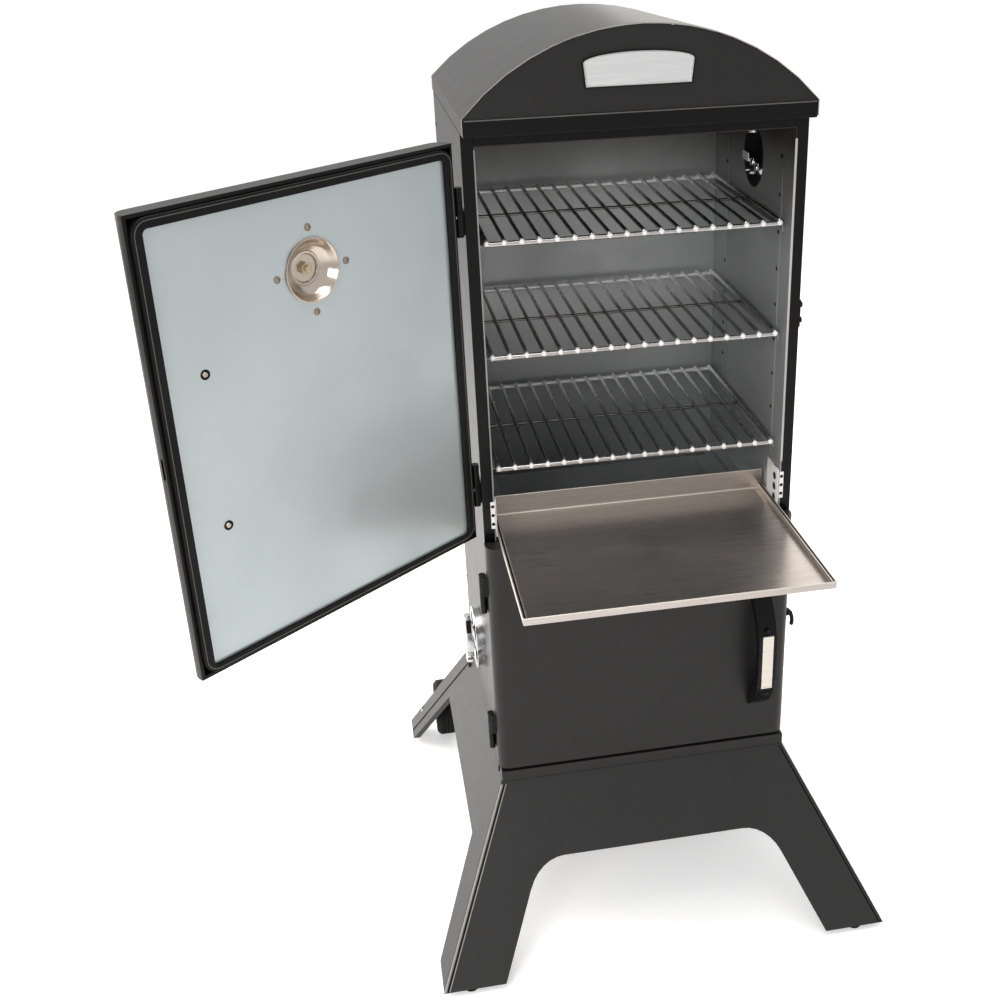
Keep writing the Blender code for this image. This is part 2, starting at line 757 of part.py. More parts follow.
def make_gasket(name, heights, body):
    """A ring between the panel and the rim that stops just short of the cabinet."""
    low, high = heights
    outer = rounded_rectangle((GASKET_X[0], low + 0.0050), (GASKET_X[1], high - 0.0048), 0.018)
    ring = prism(name, outer, "y", DOOR_BACK - 0.008, -GAP, "gasket", body)
    left, right = PANEL_X
    inner = rounded_rectangle((left - GAP, low + 0.0113), (right + GAP, high - 0.0161), 0.006)
    return cut(ring, prism("window", inner, "y", -0.1, 0.1))


def make_thermometer(body):
    x, z = DIAL
    floor = DOOR_FRONT + SHEET + GAP
    cup = rod("thermometer_cup", (x, floor, z), (x, DOOR_BACK - 0.0004, z), DIAL_RADIUS - 0.0003, 32, "brushed_steel", body)
    cut(cup, rod("hollow", (x, floor + 0.0015, z), (x, 0.1, z), DIAL_RADIUS - 0.0020, 32))
    fuse(cup, rod("nut", (x, floor + 0.001, z), (x, floor + 0.0085, z), 0.0062, 6))
    rod("thermometer_dial", (x, DOOR_FRONT - GAP, z), (x, DOOR_FRONT - 0.012, z), 0.040, 32, "dial_glass", body)


def make_catch(body):
    """The hook on the lower door's free edge."""
    edge, high = DOOR_FREE_SIDE + GAP, 0.4700
    outside = ((0, 0), (0.0060, -0.0030), (0.0105, -0.0110), (0.0125, -0.0200), (0.0115, -0.0310))
    inside = ((0.0082, -0.0305), (0.0090, -0.0205), (0.0072, -0.0130), (0.0038, -0.0072), (0, -0.0060))
    outline = [(edge + out, high + rise) for out, rise in outside + inside]
    prism("lower_catch", outline, "y", -0.0110, -0.0060, "black_paint", body)


def make_latch_slot(shell):
    """The pocket in the upper door's free edge."""
    cut(shell, box("slot", (DOOR_FREE_SIDE - 0.0035, -0.0105, 0.8830), (DOOR_FREE_SIDE + 0.01, -0.0065, 0.9065)))


def make_strike(cabinet):
    """The keeper for the upper door, with two pegs."""
    x = HALF + GAP
    plate = box("upper_strike", (x, 0.0010, 0.8920), (x + 0.0016, 0.0200, 0.9290), "black_paint", cabinet)
    pegs = [rod("peg", (x + 0.001, 0.0070, z), (x + 0.0050, 0.0070, z), 0.0040, 10) for z in (0.9000, 0.9210)]
    fuse(plate, *pegs)


def make_hinges(cabinet):
    """The cabinet's half of each hinge: leaf, knuckle and pin."""
    axis_x, axis_y = HINGE_AXIS
    side = -HALF - GAP
    names = ["upper_hinge_top", "upper_hinge_bottom", "lower_hinge_top", "lower_hinge_bottom"]
    for name, middle in zip(names, UPPER_HINGES + LOWER_HINGES):
        bottom, top = middle - HINGE_HEIGHT / 2, middle - GAP
        outline = [
            (side, 0.0250),
            (side - 0.0016, 0.0250),
            (side - 0.0016, 0.0040),
            (axis_x - 0.0012, 0.0010),
            (axis_x - 0.0012, axis_y + 0.0020),
            (side, 0.0010),
        ]
        leaf = prism(name, outline, "z", bottom, top, "black_paint", cabinet)
        knuckle = rod("knuckle", (axis_x, axis_y, bottom), (axis_x, axis_y, top), KNUCKLE_RADIUS, 16)
        pin = rod("pin", (axis_x, axis_y, bottom + 0.001), (axis_x, axis_y, middle + HINGE_HEIGHT / 2 - 0.004), 0.0019, 12)
        fuse(leaf, knuckle, pin)


# ---------------------------------------------------------------- assembly


def centre_offset():
    """Puts the origin under the middle of the object's bounding box in this pose."""
    angle = UPPER_DOOR_OPEN
    reach = DOOR_FREE_SIDE - HINGE_AXIS[0]
    grip_u, grip_v = UPPER_HANDLE[0] - HINGE_AXIS[0], DOOR_BACK - DOOR_FRONT + HANDLE_REACH
    round_u, round_v = reach - DOOR_ROUND, DOOR_BACK - DOOR_FRONT - DOOR_ROUND
    door_tip = HINGE_AXIS[0] + round_u * math.cos(angle) - round_v * math.sin(angle) - DOOR_ROUND
    grip_tip = HINGE_AXIS[0] + grip_u * math.cos(angle) - grip_v * math.sin(angle)
    left = min(door_tip, grip_tip)
    right = base_edge(LEG_BOTTOM, 0)
    front = HINGE_AXIS[1] - reach * math.sin(angle)
    back = WHEEL_Y + WHEEL_RADIUS
    return (-(left + right) / 2, -(front + back) / 2, 0)


def main():
    for old in list(bpy.data.objects):
        bpy.data.objects.remove(old)
    for name in COLOURS:
        make_material(name)

    frame = Body("frame")
    cabinet = Body("cabinet")
    upper_door = Body("upper_door", (*HINGE_AXIS, 0), -UPPER_DOOR_OPEN)
    lower_door = Body("lower_door", (*HINGE_AXIS, 0))
    racks = [Body(f"rack_{number}_slide") for number in (1, 2, 3)]
    tray = Body("tray_slide")
    wheels = [Body(f"wheel_{name}_axle", (0, WHEEL_Y, WHEEL_RADIUS)) for name in ("left", "right")]
    intake = Body("intake_turn", (0, *INTAKE))
    exhaust = Body("exhaust_turn", (0, *EXHAUST))

    make_walls(cabinet)
    make_front_frame(cabinet)
    make_hood(cabinet)
    make_badge(cabinet)
    make_base_ends(cabinet)
    make_base_sides(cabinet)
    make_feet(cabinet)
    make_wheels(cabinet, wheels)
    make_racks(racks, cabinet)
    make_tray(tray, cabinet)
    make_pans(cabinet)
    make_damper("intake", -1, INTAKE, INTAKE_RADIUS, cabinet, intake)
    make_damper("exhaust", 1, EXHAUST, EXHAUST_RADIUS, cabinet, exhaust)
    make_strike(cabinet)
    make_hinges(cabinet)

    make_latch_slot(make_door_shell("upper_door_shell", UPPER_DOOR, UPPER_HINGES, upper_door))
    make_door_panel("upper_door_panel", UPPER_DOOR, upper_door, DIAL)
    make_gasket("upper_door_gasket", UPPER_DOOR, upper_door)
    make_handle("upper_door_handle", UPPER_HANDLE, upper_door)
    make_thermometer(upper_door)
    make_door_shell("lower_door_shell", LOWER_DOOR, LOWER_HINGES, lower_door)
    make_door_panel("lower_door_panel", LOWER_DOOR, lower_door)
    make_gasket("lower_door_gasket", LOWER_DOOR, lower_door)
    make_handle("lower_door_handle", LOWER_HANDLE, lower_door)
    make_catch(lower_door)

    for body in (cabinet, upper_door, lower_door, *racks, tray, *wheels, intake, exhaust):
        body.empty.parent = frame.empty
    frame.empty.location = centre_offset()


main()
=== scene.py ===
"""Looks of the vertical cabinet smoker: materials, small fittings, a pale studio and the camera."""

import json
import math

import bmesh
import bpy
from mathutils import Matrix, Vector


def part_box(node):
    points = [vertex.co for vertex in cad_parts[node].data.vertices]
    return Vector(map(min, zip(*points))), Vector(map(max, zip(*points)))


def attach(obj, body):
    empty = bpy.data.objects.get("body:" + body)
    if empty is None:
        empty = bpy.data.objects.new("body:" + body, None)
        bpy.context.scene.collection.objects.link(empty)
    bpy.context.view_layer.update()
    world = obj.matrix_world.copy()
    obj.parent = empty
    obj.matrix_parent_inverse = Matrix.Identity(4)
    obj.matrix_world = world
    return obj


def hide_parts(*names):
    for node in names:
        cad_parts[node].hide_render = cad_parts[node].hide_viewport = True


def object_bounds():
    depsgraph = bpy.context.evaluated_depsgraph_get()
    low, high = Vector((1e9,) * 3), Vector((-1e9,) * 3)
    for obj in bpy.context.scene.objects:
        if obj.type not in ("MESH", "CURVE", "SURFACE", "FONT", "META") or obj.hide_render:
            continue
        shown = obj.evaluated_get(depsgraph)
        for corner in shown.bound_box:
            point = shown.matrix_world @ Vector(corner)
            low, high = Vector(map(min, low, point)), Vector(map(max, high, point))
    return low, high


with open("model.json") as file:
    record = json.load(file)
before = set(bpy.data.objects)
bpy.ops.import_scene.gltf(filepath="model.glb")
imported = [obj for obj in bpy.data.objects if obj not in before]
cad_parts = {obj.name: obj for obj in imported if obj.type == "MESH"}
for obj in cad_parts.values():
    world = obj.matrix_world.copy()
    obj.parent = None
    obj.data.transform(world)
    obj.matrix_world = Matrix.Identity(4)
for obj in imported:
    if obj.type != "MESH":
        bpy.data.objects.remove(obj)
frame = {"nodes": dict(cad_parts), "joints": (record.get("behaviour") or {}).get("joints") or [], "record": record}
nodes = frame["nodes"]
cad_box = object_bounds()
joints = {joint["name"]: joint for joint in frame["joints"]}

# ---------------------------------------------------------------- places

shell_low, shell_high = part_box("shell_back")
doorway_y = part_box("liner_left")[0].y
CABINET = Vector(((shell_low.x + shell_high.x) / 2, doorway_y, 0.0))  # the front, at the floor

HINGE_SIDE = -0.2166  # the doors' hinge-side edges
HOOD_FRONT = -0.0290
BASE_TOP = 0.241
BASE_HALF = 0.2130  # the side panels' faces at BASE_TOP
BASE_FRONT = -0.0215
BASE_BACK = 0.3545
LEG_BOTTOM = 0.009
FLARE = 0.496  # how far each base panel leans out, per metre of drop, sideways
FLARE_BACK = 0.550
DOORS = ("upper_door", "lower_door")

hinge = joints["upper_door_hinge"]
HINGE = Vector(hinge["pos_m"])
HINGE_PIN = HINGE - CABINET
OPEN = math.radians(hinge["range_deg"][0])
SWING = Matrix.Translation(HINGE) @ Matrix.Rotation(OPEN, 4, "Z") @ Matrix.Translation(-HINGE)


def shut_box(node):
    """The corners of one of the upper door's nodes, as if the door were shut."""
    back = SWING.inverted()
    points = [back @ vertex.co for vertex in nodes[node].data.vertices]
    low = Vector([min(point[axis] for point in points) for axis in range(3)])
    high = Vector([max(point[axis] for point in points) for axis in range(3)])
    return low, high


def door_box(door, node):
    """The corners of one of a door's nodes in the cabinet's coordinates, with the door shut."""
    low, high = shut_box(node) if door == "upper_door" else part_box(node)
    return low - CABINET, high - CABINET


def local_box(node):
    """A cabinet node's corners in the cabinet's coordinates."""
    low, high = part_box(node)
    return low - CABINET, high - CABINET


def span(side, near, far):
    """The two ends, in order, of a stretch along x on one side of the middle."""
    return sorted((side * near, side * far))


# ---------------------------------------------------------------- material building blocks


class Paint:
    """A Principled material with helpers that add its procedural detail."""

    def __init__(self, name, colour, roughness, metallic=0.0, specular=0.5):
        self.material = bpy.data.materials.new(name)
        self.material.use_nodes = True
        self.tree = self.material.node_tree
        self.shader = self.tree.nodes["Principled BSDF"]
        self.colour = (*colour, 1.0)
        self.roughness = roughness
        self.shader.inputs["Base Color"].default_value = self.colour
        self.shader.inputs["Roughness"].default_value = roughness
        self.shader.inputs["Metallic"].default_value = metallic
        self.shader.inputs["Specular IOR Level"].default_value = specular
        self.place = self.add("ShaderNodeTexCoord").outputs["Object"]

    def add(self, kind, **values):
        """Adds a node. Each value goes to the input of that name, or else to the node's own setting."""
        node = self.tree.nodes.new(kind)
        for name, value in values.items():
            if name in node.inputs:
                node.inputs[name].default_value = value
            else:
                setattr(node, name, value)
        return node

    def link(self, start, end):
        self.tree.links.new(start, end)

    def noise(self, scale, detail=3.0, stretch=(1, 1, 1), roughness=0.55):
        """Soft noise around a half; a small stretch value draws it out along that axis."""
        mapping = self.add("ShaderNodeMapping")
        mapping.inputs["Scale"].default_value = stretch
        self.link(self.place, mapping.inputs["Vector"])
        texture = self.add("ShaderNodeTexNoise")
        texture.inputs["Scale"].default_value = scale
        texture.inputs["Detail"].default_value = detail
        texture.inputs["Roughness"].default_value = roughness
        self.link(mapping.outputs["Vector"], texture.inputs["Vector"])
        return texture.outputs["Fac"]

    def along(self, axis):
        """The position along one of the object's axes."""
        split = self.add("ShaderNodeSeparateXYZ")
        self.link(self.place, split.inputs["Vector"])
        return split.outputs[axis]

    def ramp(self, value, low, high, start=0.35, end=0.65):
        """Maps a value's range onto low to high."""
        spread = self.add("ShaderNodeMapRange", clamp=True)
        spread.inputs["From Min"].default_value = start
        spread.inputs["From Max"].default_value = end
        spread.inputs["To Min"].default_value = low
        spread.inputs["To Max"].default_value = high
        self.link(value, spread.inputs["Value"])
        return spread.outputs["Result"]

    def vary_roughness(self, value, low, high):
        self.link(self.ramp(value, low, high), self.shader.inputs["Roughness"])

    def mix_colour(self, value, other, start=0.35, end=0.65):
        """Blends from the colour so far to another where the value is high."""
        mix = self.add("ShaderNodeMix", data_type="RGBA")
        socket = self.shader.inputs["Base Color"]
        self.link(self.ramp(value, 0.0, 1.0, start, end), mix.inputs["Factor"])
        if socket.links:
            self.link(socket.links[0].from_socket, mix.inputs["A"])
        else:
            mix.inputs["A"].default_value = self.colour
        mix.inputs["B"].default_value = (*other, 1.0)
        self.link(mix.outputs["Result"], socket)

    def bump(self, value, distance, strength=1.0):
        bump = self.add("ShaderNodeBump", Distance=distance, Strength=strength)
        socket = self.shader.inputs["Normal"]
        if socket.links:
            self.link(socket.links[0].from_socket, bump.inputs["Normal"])
        self.link(value, bump.inputs["Height"])
        self.link(bump.outputs["Normal"], socket)


def satin_paint(name, colour, roughness, specular):
    """Powder coat: fine orange peel, faint dust and uneven gloss."""
    paint = Paint(name, colour, roughness, specular=specular)
    paint.bump(paint.noise(900, 2), 0.0002, 0.25)
    paint.vary_roughness(paint.noise(30, 3), roughness - 0.01, roughness + 0.015)
    lighter = [channel * 1.12 + 0.0005 for channel in colour]
    paint.mix_colour(paint.noise(9, 6), lighter, 0.45, 0.85)
    return paint.material


ROOF_SHADE_HEIGHTS = (0.990, 1.130)  # where the painted shade under the roof starts and where it is full


def rolled_sheet(name, colour, cloud, roughness, metallic, roof_shade=None):
    """Coated sheet: soft clouds, faint rolling marks up its height and, if given, painted shade below the roof."""
    paint = Paint(name, colour, roughness, metallic)
    paint.mix_colour(paint.noise(5, 6), cloud, 0.35, 0.8)
    paint.vary_roughness(paint.noise(9, 5), roughness - 0.06, roughness + 0.10)
    paint.bump(paint.noise(500, 2, (1, 1, 0.03)), 0.0001, 0.15)
    if roof_shade:
        paint.mix_colour(paint.along("Z"), roof_shade, *ROOF_SHADE_HEIGHTS)
    return paint.material


def brushed(name, colour, dark, roughness, along):
    """Brushed stainless: fine scratches along one axis, with broader bands of them."""
    paint = Paint(name, colour, roughness, 1.0)
    paint.shader.inputs["Anisotropic"].default_value = 0.4
    fine = paint.noise(900, 2, along)
    paint.mix_colour(paint.noise(260, 3, along), dark, 0.3, 0.75)
    paint.vary_roughness(fine, roughness - 0.03, roughness + 0.05)
    paint.bump(fine, 0.0001, 0.12)
    return paint.material


def plated(name, colour, roughness):
    """Bright plating with a faint haze."""
    paint = Paint(name, colour, roughness, 1.0)
    paint.vary_roughness(paint.noise(40, 4), roughness * 0.6, roughness * 2.0)
    paint.mix_colour(paint.noise(25, 4), [channel * 0.8 for channel in colour], 0.5, 0.9)
    return paint.material


def rack_wire_with_highlights(front, back):
    """Plated wire, dulled by use, with a painted highlight on its front frame wire and on its rear part."""
    paint = Paint("rack_wire_with_highlights", (0.17, 0.16, 0.16), 0.20, 1.0)
    depth = paint.along("Y")
    rear = (back - 0.15, back - 0.03)
    paint.vary_roughness(paint.noise(40, 4), 0.14, 0.30)
    paint.mix_colour(paint.noise(60, 4), (0.30, 0.29, 0.28), 0.5, 0.8)
    # painted highlight: the rear part pale and less metallic
    paint.mix_colour(depth, (0.80, 0.80, 0.80), *rear)
    paint.link(paint.ramp(depth, 1.0, 0.3, *rear), paint.shader.inputs["Metallic"])
    # painted highlight along the front frame wire
    paint.mix_colour(depth, (0.52, 0.50, 0.49), front + 0.006, front + 0.003)
    return paint.material


def moulded(name, colour, roughness, grain):
    """Rubber or plastic with a fine grain and dusty patches."""
    paint = Paint(name, colour, roughness, specular=0.14)
    paint.bump(paint.noise(grain, 2), 0.0003, 0.3)
    paint.vary_roughness(paint.noise(20, 4), roughness - 0.08, roughness + 0.08)
    paint.mix_colour(paint.noise(11, 5), [channel * 1.6 + 0.004 for channel in colour], 0.5, 0.9)
    return paint.material


ALONG_X = (0.02, 1, 1)

finishes = {
    "charcoal_paint": satin_paint("charcoal_satin", (0.0105, 0.0097, 0.0095), 0.36, 0.32),
    "black_paint": satin_paint("black_satin", (0.0025, 0.0025, 0.0025), 0.26, 0.18),
    # the liner's last colour is painted shade, darkening it below the roof
    "liner_steel": rolled_sheet(
        "liner_sheet", (0.43, 0.44, 0.44), (0.29, 0.30, 0.30), 0.42, 0.6, (0.040, 0.034, 0.028)
    ),
    "door_liner": rolled_sheet(
        "door_liner_sheet", (0.510, 0.565, 0.575), (0.465, 0.52, 0.53), 0.34, 0.75
    ),
    "brushed_steel": brushed(
        "brushed_stainless", (0.54, 0.495, 0.465), (0.48, 0.435, 0.405), 0.30, ALONG_X
    ),
    "chrome": plated("bright_wire", (0.78, 0.78, 0.79), 0.10),
    "gasket": moulded("black_seal", (0.0045, 0.0045, 0.0045), 0.42, 700),
    "rubber": moulded("black_rubber", (0.006, 0.006, 0.006), 0.55, 500),
    "dial_face": moulded("dial_enamel", (0.75, 0.76, 0.75), 0.25, 900),
}
# the charcoal satin painted lighter for the base, as painted light on its panels
lit_base_paint = satin_paint("lit_base_satin", (0.0165, 0.0158, 0.0154), 0.34, 0.42)
# a painted highlight on the hood's front edge and the base's left bends
painted_edge_highlight = satin_paint("painted_edge_highlight", (0.27, 0.255, 0.235), 0.35, 0.5)
# painted highlights: glints on the rack wires' front ends, and light on the tray brackets' flanges and ears
painted_highlight_pale = satin_paint("painted_highlight_pale", (0.80, 0.79, 0.77), 0.25, 0.6)
dark_screw = plated("dark_screw", (0.30, 0.25, 0.20), 0.25)
# a soft painted highlight along the doors' seals and the hood band's top edge
soft_painted_highlight = satin_paint("soft_painted_highlight", (0.070, 0.068, 0.065), 0.30, 0.5)
pale_trim = moulded("pale_trim", (0.42, 0.41, 0.395), 0.40, 400)
# the pale trim in painted shade, for the doorway's left side
shaded_trim = moulded("shaded_trim", (0.24, 0.235, 0.23), 0.40, 400)
pale_badge = brushed("pale_badge", (0.84, 0.84, 0.84), (0.76, 0.76, 0.76), 0.34, ALONG_X)
# the handle plates' own colour, and a painted highlight on the tray's hems and folds
pale_plate_and_fold_highlight = brushed("pale_plate_and_fold_highlight", (0.74, 0.69, 0.62), (0.68, 0.63, 0.56), 0.42, ALONG_X)
shadow_gap = moulded("shadow_gap", (0.002, 0.002, 0.002), 0.8, 700)
screw_steel = plated("screw_steel", (0.50, 0.43, 0.35), 0.22)
# painted shade in holes, ports, recesses and grooves and round the badge, and the plain black of the dial's marks
# and the bolt washers
painted_shade_and_black = moulded("painted_shade_and_black", (0.006, 0.006, 0.006), 0.7, 900)
brass = plated("dull_brass", (0.55, 0.46, 0.32), 0.28)
bright_steel = brushed("bright_steel", (0.74, 0.73, 0.71), (0.62, 0.61, 0.59), 0.24, ALONG_X)
polished_dish = plated("polished_dish", (0.56, 0.49, 0.42), 0.17)
hub_plastic = moulded("hub_plastic", (0.022, 0.022, 0.023), 0.45, 600)

slots = {part["node"]: part["material_slot"] for part in frame["record"]["subparts"]}

special_finishes = {  # of nodes that don't take their slot's finish
    "hood_band": finishes["black_paint"],
    "badge": pale_badge,
    "upper_door_handle_plate": pale_plate_and_fold_highlight,
    "lower_door_handle_plate": pale_plate_and_fold_highlight,
}

CREASE = math.radians(38)  # the sharpest bend that is shaded as one smooth surface


def round_edges(piece, width, segments=2):
    """Joins split vertices, rounds the corners a little and shades the rest smoothly."""
    for polygon in piece.data.polygons:
        polygon.use_smooth = True
    piece.modifiers.new("weld", "WELD").merge_threshold = 0.00001
    if width:
        bevel = piece.modifiers.new("round", "BEVEL")
        bevel.width = width
        bevel.segments = segments
        bevel.limit_method = "ANGLE"
        bevel.angle_limit = CREASE
        bevel.use_clamp_overlap = True
    split = piece.modifiers.new("creases", "EDGE_SPLIT")
    split.split_angle = CREASE
    piece.modifiers.new("soften", "WEIGHTED_NORMAL").keep_sharp = True


EDGE_WIDTH = {  # how much of each node's edges is rounded, where it isn't USUAL_EDGE
    "tray": 0.0004,
    "badge": 0.0008,
    "hood_wrap": 0.0004,
    "hood_front": 0.0,
    "hood_band": 0.0012,
    "front_sill": 0.0016,
    "upper_door_shell": 0.0016,
    "lower_door_shell": 0.0016,
    "upper_door_handle": 0.0045,
    "lower_door_handle": 0.0045,
    "upper_door_gasket": 0.0036,
    "lower_door_gasket": 0.0036,
    "lower_catch": 0.0010,
    "wheel_left": 0.0025,
    "wheel_right": 0.0025,
    "intake_disc": 0.0006,
    "exhaust_disc": 0.0006,
}
USUAL_EDGE = 0.0003
SOFT_EDGE = 0.0020  # wider edges than this are rounded in more steps


def paint_faces(node, material, wanted):
    """Gives a second finish to the faces whose centre and normal pass a test."""
    mesh = nodes[node].data
    mesh.materials.append(material)
    for polygon in mesh.polygons:
        if wanted(polygon.center, polygon.normal):
            polygon.material_index = len(mesh.materials) - 1


def finish_of(name):
    """A node's finish: its slot's, but for the base and a few others."""
    if name.startswith("base_"):
        return lit_base_paint
    return special_finishes.get(name, finishes[slots[name]])


def dress_frame():
    """Gives each node its finish and softened edges."""
    for name, node in nodes.items():
        node.data.materials.clear()
        node.data.materials.append(finish_of(name))
        width = EDGE_WIDTH.get(name, USUAL_EDGE)
        round_edges(node, width, 4 if width > SOFT_EDGE else 2)


def paint_front():
    """Black inner sides on the doors, black faces round the doorways, and a painted highlight on the hood's front
    edge.
    """
    black = finishes["black_paint"]
    turn_back = SWING.inverted().to_3x3()
    hinge_edge = CABINET.x + HINGE_SIDE - 0.0001
    hood_edge = CABINET.y + HOOD_FRONT + 0.0005

    def not_outside(centre, normal):
        return (turn_back @ normal).y > -0.5 and normal.z < 0.5

    paint_faces("upper_door_shell", black, not_outside)
    paint_faces("lower_door_shell", black, lambda centre, normal: centre.x < hinge_edge)
    for name in ("shell_left", "shell_right", "front_header"):
        paint_faces(name, black, lambda centre, normal: normal.y < -0.5)
    paint_faces("hood_wrap", painted_edge_highlight, lambda centre, normal: centre.y < hood_edge and normal.y < -0.9)


def paint_dampers():
    """Paints shade inside the exhaust and in the intake's ports; the exhaust's faces turned towards the chamber
    are darkened too.
    """
    low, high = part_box("exhaust_housing")
    exhaust, bore = (low + high) / 2, (high.z - low.z) / 2 - 0.0035
    low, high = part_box("intake_housing")
    intake, disc_face = (low + high) / 2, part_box("intake_disc")[1].x

    def within(centre, axis):
        return math.hypot(centre.y - axis.y, centre.z - axis.z) < bore

    def darkened_inside(centre, normal):
        return normal.x < 0.5 and (normal.x < -0.5 or within(centre, exhaust))

    def port(centre, normal):
        return centre.x > disc_face - 0.0018 and abs(normal.x) < 0.5 and within(centre, intake)

    paint_faces("exhaust_housing", painted_shade_and_black, darkened_inside)
    paint_faces("exhaust_disc", painted_shade_and_black, darkened_inside)
    paint_faces("intake_disc", painted_shade_and_black, port)


# ---------------------------------------------------------------- added pieces


class Piece:
    """Shapes drawn in the cabinet's coordinates, with its doors shut, that become one piece."""

    def __init__(self, name, body, slot, material=None):
        self.name, self.body, self.slot = name, body, slot
        self.material = material or finishes[slot]
        self.shape = bmesh.new()

    def box(self, low, high):
        low, high = Vector(low), Vector(high)
        place = Matrix.Translation((low + high) / 2) @ Matrix.Diagonal((*(high - low), 1))
        bmesh.ops.create_cube(self.shape, size=1.0, matrix=place)

    def rod(self, start, end, radius, sides=20, end_radius=None):
        start, end = Vector(start), Vector(end)
        turn = Vector((0, 0, 1)).rotation_difference(end - start).to_matrix().to_4x4()
        bmesh.ops.create_cone(
            self.shape,
            cap_ends=True,
            segments=sides,
            radius1=radius,
            radius2=radius if end_radius is None else end_radius,
            depth=(end - start).length,
            matrix=Matrix.Translation((start + end) / 2) @ turn,
        )

    def crosswise(self, half, y, z, radius, sides=20):
        """A rod from side to side."""
        self.rod((-half, y, z), (half, y, z), radius, sides)

    def ball(self, centre, radius, scale=(1, 1, 1)):
        place = Matrix.Translation(centre) @ Matrix.Diagonal((*scale, 1))
        bmesh.ops.create_uvsphere(self.shape, u_segments=16, v_segments=10, radius=radius, matrix=place)

    def wire(self, points, radius, sides=12):
        """A round wire through the points, with rounded ends."""
        points = [Vector(point) for point in points]
        steps = [(b - a).normalized() for a, b in zip(points, points[1:])]
        leads = [steps[0]] + [(a + b).normalized() for a, b in zip(steps, steps[1:])] + [steps[-1]]
        first, last = points[0], points[-1]
        after_first = first + steps[0] * 0.3 * radius
        before_last = last - steps[-1] * 0.3 * radius
        points = [first, after_first, *points[1:-1], before_last, last]
        leads = [leads[0], *leads, leads[-1]]
        across = leads[0].orthogonal().normalized()
        rings = []
        for number, (point, lead) in enumerate(zip(points, leads)):
            across = (across - lead * across.dot(lead)).normalized()
            other = lead.cross(across)
            size = radius * (0.6 if number in (0, len(points) - 1) else 1.0)
            turns = [2 * math.pi * i / sides for i in range(sides)]
            ring = [point + size * (math.cos(t) * across + math.sin(t) * other) for t in turns]
            rings.append([self.shape.verts.new(corner) for corner in ring])
        for low, high in zip(rings, rings[1:]):
            for i in range(sides):
                j = (i + 1) % sides
                self.shape.faces.new((low[i], low[j], high[j], high[i]))
        self.shape.faces.new(rings[0][::-1])
        self.shape.faces.new(rings[-1])

    def lathe(self, profile, centre, steps=48):
        """Turns a closed outline of (radius, y) points round an axis along y through the centre."""
        rings = []
        for radius, y in profile:
            turns = [2 * math.pi * i / steps for i in range(steps)]
            ring = [(centre[0] + radius * math.cos(t), y, centre[2] + radius * math.sin(t)) for t in turns]
            rings.append([self.shape.verts.new(corner) for corner in ring])
        for low, high in zip(rings, rings[1:] + rings[:1]):
            for i in range(steps):
                j = (i + 1) % steps
                self.shape.faces.new((low[i], low[j], high[j], high[i]))

    def band(self, outer, inner, place, low, high):
        """A flat ring between two outlines with as many points each; place(a, b, c) gives the corner."""
        loops = [
            [self.shape.verts.new(place(a, b, c)) for a, b in line]
            for line, c in ((outer, low), (outer, high), (inner, high), (inner, low))
        ]
        for start, end in zip(loops, loops[1:] + loops[:1]):
            for i in range(len(outer)):
                j = (i + 1) % len(outer)
                self.shape.faces.new((start[i], start[j], end[j], end[i]))

    def done(self, width=0.0, replaces=()):
        bmesh.ops.recalc_face_normals(self.shape, faces=self.shape.faces)
        mesh = bpy.data.meshes.new(self.name)
        self.shape.to_mesh(mesh)
        self.shape.free()
        mesh.transform(Matrix.Translation(CABINET))
        if self.body == "upper_door":
            mesh.transform(SWING)
        mesh.materials.append(self.material)
        piece = bpy.data.objects.new(self.name, mesh)
        bpy.context.scene.collection.objects.link(piece)
        round_edges(piece, width)
        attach(piece, self.body)
        if replaces:
            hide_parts(*replaces)


RACK_BODIES = ("top_rack", "middle_rack", "bottom_rack")
WIRE_INSET = 0.0032  # from a rack's front or back to the middle of its frame wire
RACK_WIRES = 18
FRAME_WIRE = 0.0033
CROSS_BAR = 0.0020
GRID_WIRE = 0.0026


def make_racks():
    """Round wires: two long ones, a cross bar, and thin ones on top that bend down over the front."""
    low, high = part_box("rack_1")
    material = rack_wire_with_highlights(low.y + WIRE_INSET, high.y)
    for number, body in enumerate(RACK_BODIES, 1):
        low, high = local_box(f"rack_{number}")
        front, back = low.y + WIRE_INSET, high.y - WIRE_INSET
        height, half = low.z + 0.0030, high.x - 0.0008
        top, reach = height + 0.0045, half - 0.0040
        piece = Piece(f"rack_{number}_wires", body, "chrome", material)
        tip_glints = Piece(f"rack_{number}_tips", body, "chrome", painted_highlight_pale)
        for y in (front, back):
            piece.wire([(-half, y, height), (half, y, height)], FRAME_WIRE)
        middle = (front + back) / 2
        piece.wire([(-half + 0.003, middle, height), (half - 0.003, middle, height)], CROSS_BAR)
        for i in range(RACK_WIRES):
            x = -reach + 2 * reach * i / (RACK_WIRES - 1)
            bends = [
                (x, front - 0.0028, height - 0.0008),
                (x, front - 0.0030, height + 0.0022),
                (x, front - 0.0012, top - 0.0002),
                (x, front + 0.0040, top),
                (x, back - 0.0030, top),
                (x, back + 0.0012, top - 0.0010),
            ]
            piece.wire(bends, GRID_WIRE, 8)
            # a pale bead at each wire's front bend, as a painted glint
            tip_glints.ball((x, front - 0.0026, height + 0.0016), 0.0037)
        piece.done(replaces=(f"rack_{number}",))
        tip_glints.done()


TRAY_HEMS = (  # each one's outer and inner inset, and its rise over the rim
    (-0.0002, 0.0014, 0.0006),
    (0.0040, 0.0054, 0.0004),
)


